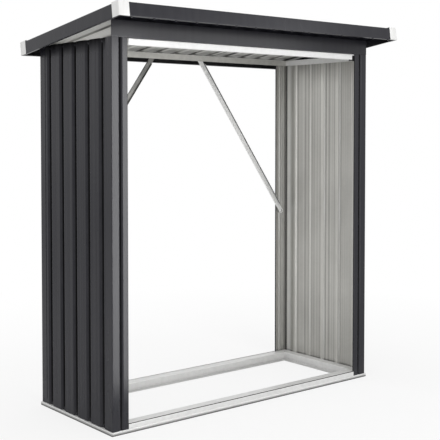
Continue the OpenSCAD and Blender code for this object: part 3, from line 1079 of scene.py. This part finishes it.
class LOGSTORE_OT_top_frame(Operator):
    """Makes the top rails, the header over the opening and the two braces at the rear"""

    bl_idname = "log_store.top_frame"
    bl_label = "Top frame"

    def execute(self, context):
        sizes = context.scene.log_store_sizes
        for side in SIDES:
            self.top_rail(side, sizes)
        self.header(sizes)
        for side in ("left", "right"):
            self.brace("brace_" + side, sizes)
        return {"FINISHED"}

    def top_rail(self, side, sizes):
        """A channel under the roof, open below."""
        node = "top_rail_" + side
        low, high = corners_of(node)
        middle = (low + high) / 2
        size = sizes.top_rail
        profile = ((size, 0), (size, size), (0, size), (0, 0))

        def place(run, across, up):
            if side in FRONT_AND_REAR:
                return Vector((middle.x + run, low.y + across, low.z + up))
            return Vector((low.x + across, middle.y + run, low.z + up))

        mesh = sheet_mesh(profile, square(half_along(side, low, high)), place, sizes)
        if side not in FRONT_AND_REAR:
            self.shade_front_end(mesh, low.y + sizes.rail_shaded_end)
        # Painted light on the front rail and painted shade on the rear rail, through lit and shaded copies of
        # the zinc
        zinc = {"front": "lit_rail_zinc", "rear": "shaded_rail_zinc"}.get(side, "rail_zinc")
        keep(new_piece(node + "_channel", mesh, (zinc, zinc, "painted_shade_black")), GALVANISED, node)

    def shade_front_end(self, mesh, depth):
        """Gives the front end of a channel, up to a depth, the third finish, which is black painted shade."""
        geometry = mesh.verts[:] + mesh.edges[:] + mesh.faces[:]
        bmesh.ops.bisect_plane(mesh, geom=geometry, plane_co=(0, depth, 0), plane_no=(0, 1, 0))
        for face in mesh.faces:
            if face.calc_center_median().y < depth:
                face.material_index = 2

    def header(self, sizes):
        """The painted channel that closes the wedge between the posts and the roof."""
        low, high = corners_of("front_header")
        back = low.y + sizes.header_flange
        top = high.z - sizes.header_gap
        back_top = top - sizes.header_flange * math.tan(sizes.roof_fall)
        profile = ((back, back_top), (low.y, top), (low.y, low.z), (back, low.z))
        middle = (high.x + low.x) / 2

        def place(run, across, up):
            return Vector((middle + run, across, up))

        mesh = sheet_mesh(profile, square((high.x - low.x) / 2), place, sizes, runs=sizes.fold_rows)
        piece = new_piece("front_header_sheet", mesh, ("anthracite_paint", "inside_zinc"))
        keep(piece, PAINTED, "front_header")

    def brace(self, node, sizes):
        """A slanting channel, its edges broken. Its front, its flanges and its rear differ in finish: painted
        shade darkens the flanges, the rear and the left brace's front, and painted light brightens the right
        brace's front.
        """
        facing = 0.7
        upward = 0.3
        mesh = bmesh.new()
        mesh.from_mesh(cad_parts[node].data)
        bmesh.ops.remove_doubles(mesh, verts=mesh.verts, dist=ONE_POINT)
        bmesh.ops.dissolve_limit(mesh, angle_limit=math.radians(1), verts=mesh.verts, edges=mesh.edges)
        low, high = corners_of(node)
        middle = (low + high) / 2
        # Painted shade on the flanges and the rear faces
        for face in mesh.faces:
            turned_in = face.normal.dot(middle - face.calc_center_median()) > 0
            if abs(face.normal.y) < facing and (turned_in or face.normal.z > upward):
                face.material_index = 1
            elif face.normal.y > facing:
                face.material_index = 2
            else:
                face.material_index = 0
        # Painted light and shade: the left brace's front gets a shaded copy of the zinc, the right brace's
        # front a lit one
        front = "shaded_brace_zinc" if node == "brace_left" else "brace_zinc"
        piece = new_piece(node + "_channel", mesh, (front, "brace_channel_zinc", "shaded_rail_zinc"))
        round_edges(piece, sizes.edge_break, limit=40)
        baked(piece)
        piece.data.shade_flat()
        keep(piece, GALVANISED, node)


class RoofPlan:
    """Where the roof is: its plane and its rectangle, read from the trims."""

    def __init__(self, sizes):
        low, high = box_of(["roof_trim_" + side for side in SIDES])
        fall = sizes.roof_fall
        lift = corners_of("roof_trim_front")[0].z + sizes.trim_hem * math.sin(fall)
        self.half = (high.x - low.x) / 2
        self.middle = (high.x + low.x) / 2
        self.run = (high.y - low.y - sizes.trim_height * math.sin(fall)) / math.cos(fall)
        self.place = Matrix.Translation((self.middle, low.y, lift)) @ Matrix.Rotation(-fall, 4, "X")
        self.up = self.place.to_3x3() @ Vector((0, 0, 1))

    def rectangle(self):
        """Lowest and highest corner of the roof in its own plane."""
        return Vector((-self.half, 0, 0)), Vector((self.half, self.run, 0))


class LOGSTORE_OT_roof_sheets(Operator):
    """Makes the three corrugated roof sheets, the middle one lapped over the others"""

    bl_idname = "log_store.roof_sheets"
    bl_label = "Roof sheets"

    def execute(self, context):
        sizes = context.scene.log_store_sizes
        tree = bpy.data.node_groups["corrugated_sheet"]
        plan = RoofPlan(sizes)
        edge = sizes.sheet + sizes.fit
        for name, seed in zip(SHEETS, (5.0, 6.0, 7.0)):
            node = "roof_sheet_" + name
            low, high = corners_of(node)
            centre = (low.x + high.x) / 2 - plan.middle
            up = sizes.sheet_drop + (edge if name == "middle" else 0)
            place = plan.place @ Matrix.Translation((centre, plan.run / 2, up))
            piece = corrugated_piece(node + "_corrugated", tree, sizes, high.x - low.x, plan.run - 2 * edge,
                                     centre, place, seed, "anthracite_roof_paint", "roof_zinc")
            keep(piece, PAINTED, node)
        return {"FINISHED"}


class LOGSTORE_OT_roof_trims(Operator):
    """Makes the four mitred trims round the roof"""

    bl_idname = "log_store.roof_trims"
    bl_label = "Roof trims"

    def execute(self, context):
        sizes = context.scene.log_store_sizes
        plan = RoofPlan(sizes)
        crest = sizes.sheet_drop + sizes.rib_depth + 2 * sizes.sheet + 2 * sizes.fit
        profile = (
            (sizes.trim_top, crest), (sizes.trim_top, sizes.trim_height), (0, sizes.trim_height), (0, 0),
            (sizes.trim_hem, 0))
        low, high = plan.rectangle()
        for side in SIDES:
            node = "roof_trim_" + side
            half = half_along(side, low, high) - sizes.fit
            on_plan = side_place(side, low, high)

            def place(run, across, up):
                return plan.place @ on_plan(run, across, up)

            mesh = sheet_mesh(profile, mitred(half), place, sizes, runs=sizes.fold_rows)
            # Painted shade: the inside of the rear trim gets the black finish
            inside = "painted_shade_black" if side == "rear" else "anthracite_paint"
            keep(new_piece(node + "_sheet", mesh, ("anthracite_paint", inside)), PAINTED, node)
        return {"FINISHED"}


class LOGSTORE_OT_roof_caps(Operator):
    """Makes the four white caps on the corners of the roof trim"""

    bl_idname = "log_store.roof_caps"
    bl_label = "Roof caps"

    def execute(self, context):
        sizes = context.scene.log_store_sizes
        plan = RoofPlan(sizes)
        for corner in CORNERS:
            node = "roof_cap_" + corner
            mesh = self.skin(sizes)
            way_x, way_y = ways_in(corner)
            start = Vector((-plan.half * way_x, 0 if way_y > 0 else plan.run, 0))
            proud = Vector((-sizes.cap_proud * way_x, -sizes.cap_proud * way_y, 0))
            across = Matrix.Diagonal((way_x, way_y, 1, 1))
            mesh.transform(plan.place @ Matrix.Translation(start + proud) @ across)
            bmesh.ops.recalc_face_normals(mesh, faces=mesh.faces)
            self.face_out(mesh, plan.place @ Vector((0, plan.run / 2, 0)))
            piece = new_piece(node + "_moulding", mesh, ("white_moulding",))
            wall = piece.modifiers.new("wall", "SOLIDIFY")
            wall.thickness = sizes.cap_wall
            wall.offset = -1
            wall.use_even_offset = True
            round_edges(piece, sizes.cap_wall / 3, limit=50)
            keep(baked(piece), PLASTIC, node)
        return {"FINISHED"}

    def skin(self, sizes):
        """The top and the two outer sides of a cap, with rounded edges."""
        reach = sizes.cap_length + sizes.cap_proud
        height = sizes.trim_height + sizes.cap_rise
        mesh = bmesh.new()
        bmesh.ops.create_cube(mesh, size=1.0, matrix=Matrix.Translation((0.5, 0.5, 0.5)))
        bmesh.ops.scale(mesh, vec=(reach, reach, height), verts=mesh.verts)
        open_faces = [face for face in mesh.faces if self.is_open(face)]
        bmesh.ops.delete(mesh, geom=open_faces, context="FACES_ONLY")
        folds = [edge for edge in mesh.edges if len(edge.link_faces) == 2]
        bmesh.ops.bevel(mesh, geom=folds, offset=sizes.cap_round, segments=5, profile=0.5, affect="EDGES")
        return mesh

    def is_open(self, face):
        """True for the cap's open bottom and its two sides towards the roof."""
        facing = 0.5
        return face.normal.z < -facing or face.normal.x > facing or face.normal.y > facing

    def face_out(self, mesh, inside):
        """Turns the skin's faces away from a point inside the roof."""
        share = 0
        for face in mesh.faces:
            share += face.normal.dot(face.calc_center_median() - inside) * face.calc_area()
        if share < 0:
            bmesh.ops.reverse_faces(mesh, faces=mesh.faces)


def tapered(tree, radius, height, sides, taper):
    """A short cone whose top has a share of the radius of its foot."""
    return add_node(tree, "GeometryNodeMeshCone", {
        "Vertices": sides, "Radius Bottom": radius, "Depth": height,
        "Radius Top": maths(tree, "MULTIPLY", radius, taper)}).outputs["Mesh"]


def fastener_tree():
    """Geometry of screw or bolt heads: a washer and a six-sided head on each point, turned as it faces."""
    inputs = {
        "Geometry": "Geometry", "Washer Radius": 0.0065, "Washer Height": 0.0012, "Head Radius": 0.0042,
        "Head Height": 0.003, "Finish": "Material"}
    tree, given, result = new_group("fastener_heads", "GeometryNodeTree", inputs, {"Geometry": "Geometry"})
    washer = tapered(tree, given["Washer Radius"], given["Washer Height"], sides=20, taper=0.86)
    head = tapered(tree, given["Head Radius"], given["Head Height"], sides=6, taper=0.92)
    lift = add_node(tree, "ShaderNodeCombineXYZ", {"Z": given["Washer Height"]}).outputs[0]
    raised = add_node(tree, "GeometryNodeTransform", {"Geometry": head, "Translation": lift}).outputs[0]
    facing = read_mark(tree, "facing", "FLOAT_VECTOR")
    turned = add_node(tree, "FunctionNodeAlignRotationToVector", {"Vector": facing}, axis="Z").outputs[0]
    points = add_node(tree, "GeometryNodeMeshToPoints", {"Mesh": given["Geometry"]}).outputs[0]
    placed = add_node(tree, "GeometryNodeInstanceOnPoints", {
        "Points": points, "Instance": together(tree, washer, raised), "Rotation": turned}).outputs[0]
    tree.links.new(with_finish(tree, realized(tree, placed), given["Finish"]), result["Geometry"])
    return tree


def evenly(first, last, number_of):
    """Places spread evenly from the first to the last."""
    return [first + (last - first) * index / (number_of - 1) for index in range(number_of)]


def groove_places(half, pitch):
    """Middles of the grooves of a sheet that is centred on a groove."""
    on_each_side = math.floor(half / pitch)
    return [pitch * index for index in range(-on_each_side, on_each_side + 1)]


class LOGSTORE_OT_fasteners(Operator):
    """Sets the screws of the walls, roof and trims, and the bolts of the braces"""

    bl_idname = "log_store.fasteners"
    bl_label = "Fasteners"

    def execute(self, context):
        sizes = context.scene.log_store_sizes
        tree = fastener_tree()
        screw = self.head(sizes.screw_head, sizes.screw_washer, sizes.sheet, "anthracite_screw_paint")
        bolt = self.head(sizes.bolt_head, sizes.bolt_washer, sizes.sheet, "bolt_zinc")
        groups = (
            ("wall_screws", screw, PAINTED, self.wall_points(sizes)),
            ("roof_screws", screw, PAINTED, self.roof_points(sizes)),
            ("trim_screws", screw, PAINTED, self.trim_points(sizes)),
            ("brace_bolts", bolt, GALVANISED, self.brace_points(sizes)),
        )
        for name, values, slot, points in groups:
            keep(tree_piece(name, tree, values, points), slot)
        return {"FINISHED"}

    def head(self, radius, washer, thickness, material):
        """Values of the tree for one kind of fastener."""
        height_share = 0.7
        return {
            "Washer Radius": washer, "Washer Height": thickness, "Head Radius": radius,
            "Head Height": radius * height_share, "Finish": finish(material)}

    def wall_points(self, sizes):
        """A screw at the foot and at the head of each groove of a wall."""
        points = []
        foot = (sizes.lip_height + sizes.rail_height) / 2
        for side, out in (("left", -1), ("right", 1)):
            low, high = corners_of("wall_" + side)
            middle = (low.y + high.y) / 2
            groove = high.x - sizes.sheet if side == "left" else low.x + sizes.sheet
            head = high.z - sizes.top_rail / 2
            for along in groove_places((high.y - low.y) / 2, sizes.rib_pitch):
                points += [((groove, middle + along, height), (out, 0, 0)) for height in (foot, head)]
        return points

    def roof_points(self, sizes):
        """Screws in the roof's grooves over the header and the rear rail, and along the laps."""
        plan = RoofPlan(sizes)
        start = plan.place.translation.y
        header = corners_of("front_header")[0].y + sizes.header_flange / 2 - start
        rear = corners_of("top_rail_rear")[0].y + sizes.top_rail / 2 - start
        middle_low, middle_high = corners_of("roof_sheet_middle")
        groove_face = sizes.sheet_drop + sizes.sheet
        lift = sizes.sheet + sizes.fit
        points = []
        for groove in groove_places(plan.half - sizes.trim_top, sizes.rib_pitch):
            on_middle = middle_low.x < groove < middle_high.x
            face = groove_face + (lift if on_middle else 0)
            for back in (header, rear):
                down = back / math.cos(sizes.roof_fall)
                points.append((plan.place @ Vector((groove, down, face)), plan.up))
        crest = groove_face + sizes.rib_depth + lift
        for seam in (middle_low.x + sizes.roof_lap / 2, middle_high.x - sizes.roof_lap / 2):
            for down in evenly(sizes.lap_margin, plan.run - sizes.lap_margin, sizes.lap_screws):
                points.append((plan.place @ Vector((seam, down, crest)), plan.up))
        return points

    def trim_points(self, sizes):
        """Screws on the top of the roof trims, and under the front trim at each groove of the roof."""
        top_share = 0.6
        plan = RoofPlan(sizes)
        low, high = plan.rectangle()
        points = []
        for side in SIDES:
            screws = sizes.long_trim_screws if side in FRONT_AND_REAR else sizes.short_trim_screws
            half = half_along(side, low, high) - sizes.cap_length * 2
            place = side_place(side, low, high)
            for run in evenly(-half, half, screws):
                point = place(run, sizes.trim_top * top_share, sizes.trim_height)
                points.append((plan.place @ point, plan.up))
        for groove in groove_places(plan.half - sizes.cap_length, sizes.rib_pitch):
            points.append((plan.place @ Vector((groove, sizes.screw_washer, 0)), -plan.up))
        return points

    def brace_points(self, sizes):
        """A bolt through each end of a brace: its head inside at the post, and outside at the rail."""
        points = []
        end = sizes.brace_width / 2
        for side in ("left", "right"):
            low, high = corners_of("brace_" + side)
            outer, inner = (low.x + end, high.x - end) if side == "left" else (high.x - end, low.x + end)
            points.append(((outer, high.y - sizes.sheet, low.z + end), (0, -1, 0)))
            points.append(((inner, high.y, high.z - end), (0, 1, 0)))
        return points


class LOGSTORE_OT_stage(Operator):
    """Sets the floor, the light and the camera"""

    bl_idname = "log_store.stage"
    bl_label = "Stage"

    def execute(self, context):
        scene = context.scene
        values = scene.log_store_stage
        self.floor(scene, values)
        self.world(scene, values)
        self.lamps(values)
        self.camera(scene, values)
        scene.view_settings.view_transform = "Standard"
        return {"FINISHED"}

    def floor(self, scene, values):
        """A plain pale floor that keeps the shadow of the store."""
        tree, shader = new_finish("studio_floor_white")
        shader.inputs["Base Color"].default_value = opaque(scene.log_store_colours.floor)
        shader.inputs["Roughness"].default_value = 0.9
        shader.inputs["Specular IOR Level"].default_value = 0.0
        glow = add_node(tree, "ShaderNodeEmission", {"Color": (1, 1, 1, 1), "Strength": 1.0})
        seen = add_node(tree, "ShaderNodeLightPath").outputs["Is Camera Ray"]
        place = object_place(tree)
        away = add_node(tree, "ShaderNodeVectorMath", {0: place}, operation="LENGTH").outputs["Value"]
        white = spread(tree, away, values.shadow_near, values.shadow_far, values.floor_glow, 1.0)
        share = maths(tree, "MULTIPLY", seen, white)
        mixed = add_node(tree, "ShaderNodeMixShader", {0: share, 1: shader.outputs[0], 2: glow.outputs[0]})
        tree.links.new(mixed.outputs[0], tree.nodes["Material Output"].inputs["Surface"])
        mesh = bmesh.new()
        bmesh.ops.create_grid(mesh, x_segments=1, y_segments=1, size=values.floor_half)
        bmesh.ops.translate(mesh, verts=mesh.verts, vec=(0, 0, -values.floor_drop))
        floor = new_piece("studio_floor", mesh, ("studio_floor_white",))
        floor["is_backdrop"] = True

    def world(self, scene, values):
        """Even light from all round, and white where the camera or a reflection sees past the floor."""
        world = bpy.data.worlds.new("studio")
        scene.world = world
        world.use_nodes = True
        tree = world.node_tree
        tree.nodes.clear()
        path = add_node(tree, "ShaderNodeLightPath").outputs
        seen = maths(tree, "MAXIMUM", path["Is Camera Ray"], path["Is Glossy Ray"])
        seen = maths(tree, "MAXIMUM", seen, path["Is Transmission Ray"])
        light = add_node(tree, "ShaderNodeBackground", {"Color": (1, 1, 1, 1), "Strength": values.sky_light})
        white = add_node(tree, "ShaderNodeBackground", {"Color": (1, 1, 1, 1), "Strength": 1.0})
        mixed = add_node(tree, "ShaderNodeMixShader", {0: seen, 1: light.outputs[0], 2: white.outputs[0]})
        output = add_node(tree, "ShaderNodeOutputWorld")
        tree.links.new(mixed.outputs[0], output.inputs["Surface"])

    def lamps(self, values):
        """Two cards that show only in reflections, a front lamp that doesn't, and a lamp behind the store."""
        left_post = Vector((-0.75, -0.27, 0.88))
        header = Vector((0.0, -0.27, 1.15))
        middle = Vector((0, 0, 0.9))
        right_wall = Vector((0.78, 0.05, 1.2))
        post_card = self.lamp("post_card", values.card_light, place=(-0.365, -0.858, 0.88), target=left_post,
                              size=(0.15, 1.74))
        post_card.visible_diffuse = False
        header_card = self.lamp("header_card", values.wide_card_light, place=(0.85, -1.75, 1.19),
                                target=header, size=(1.3, 2.18))
        header_card.visible_diffuse = False
        front = self.lamp("front_lamp", values.front_light, place=(-0.6, -4.0, 3.2), target=middle,
                          size=(2.0, 2.0))
        front.visible_glossy = False
        self.lamp("rear_lamp", values.rear_light, place=(-0.2, 4.2, 1.9), target=right_wall, size=(1.2, 2.0))

    def lamp(self, name, watts, place, target, size):
        """A soft lamp aimed at a place on the store."""
        data = bpy.data.lights.new(name, "AREA")
        data.shape = "RECTANGLE"
        data.energy = watts
        data.size, data.size_y = size
        lamp = new_object(name, data)
        lamp.location = place
        lamp.rotation_euler = (target - Vector(place)).to_track_quat("-Z", "Y").to_euler()
        lamp.visible_camera = False
        return lamp

    def camera(self, scene, values):
        """The camera at the viewing angle of the work."""
        data = bpy.data.cameras.new("camera")
        data.lens = values.camera_lens
        data.sensor_fit = "HORIZONTAL"
        data.shift_y = values.camera_shift
        camera = new_object("camera", data)
        camera.location = values.camera_place
        camera.rotation_euler = (math.pi / 2 - values.camera_pitch, 0, -values.camera_yaw)
        scene.camera = camera


OPERATORS = (
    LOGSTORE_OT_finishes,
    LOGSTORE_OT_base_rails,
    LOGSTORE_OT_posts,
    LOGSTORE_OT_walls,
    LOGSTORE_OT_top_frame,
    LOGSTORE_OT_roof_sheets,
    LOGSTORE_OT_roof_trims,
    LOGSTORE_OT_roof_caps,
    LOGSTORE_OT_fasteners,
    LOGSTORE_OT_stage,
)


class LOGSTORE_PT_panel(Panel):
    """Lists the steps that dress the log store"""

    bl_idname = "LOGSTORE_PT_panel"
    bl_label = "Log store"
    bl_space_type = "VIEW_3D"
    bl_region_type = "UI"
    bl_category = "Log store"

    def draw(self, context):
        for operator in OPERATORS:
            self.layout.operator(operator.bl_idname)


PROPERTY_GROUPS = {
    "log_store_sizes": LogStoreSizes,
    "log_store_colours": LogStoreColours,
    "log_store_stage": LogStoreStage,
}


def register():
    for name, group in PROPERTY_GROUPS.items():
        bpy.utils.register_class(group)
        setattr(bpy.types.Scene, name, PointerProperty(type=group))
    for operator in OPERATORS:
        bpy.utils.register_class(operator)
    bpy.utils.register_class(LOGSTORE_PT_panel)


def unregister():
    bpy.utils.unregister_class(LOGSTORE_PT_panel)
    for operator in reversed(OPERATORS):
        bpy.utils.unregister_class(operator)
    for name, group in reversed(PROPERTY_GROUPS.items()):
        delattr(bpy.types.Scene, name)
        bpy.utils.unregister_class(group)


def main():
    register()
    for operator in OPERATORS:
        name = operator.bl_idname.split(".")[1]
        getattr(bpy.ops.log_store, name)()
    boxes = {"cad": CAD_BOX, "visual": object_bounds()}
    plain = {label: [list(corner) for corner in box] for label, box in boxes.items()}


if __name__ == "__main__":
    main()
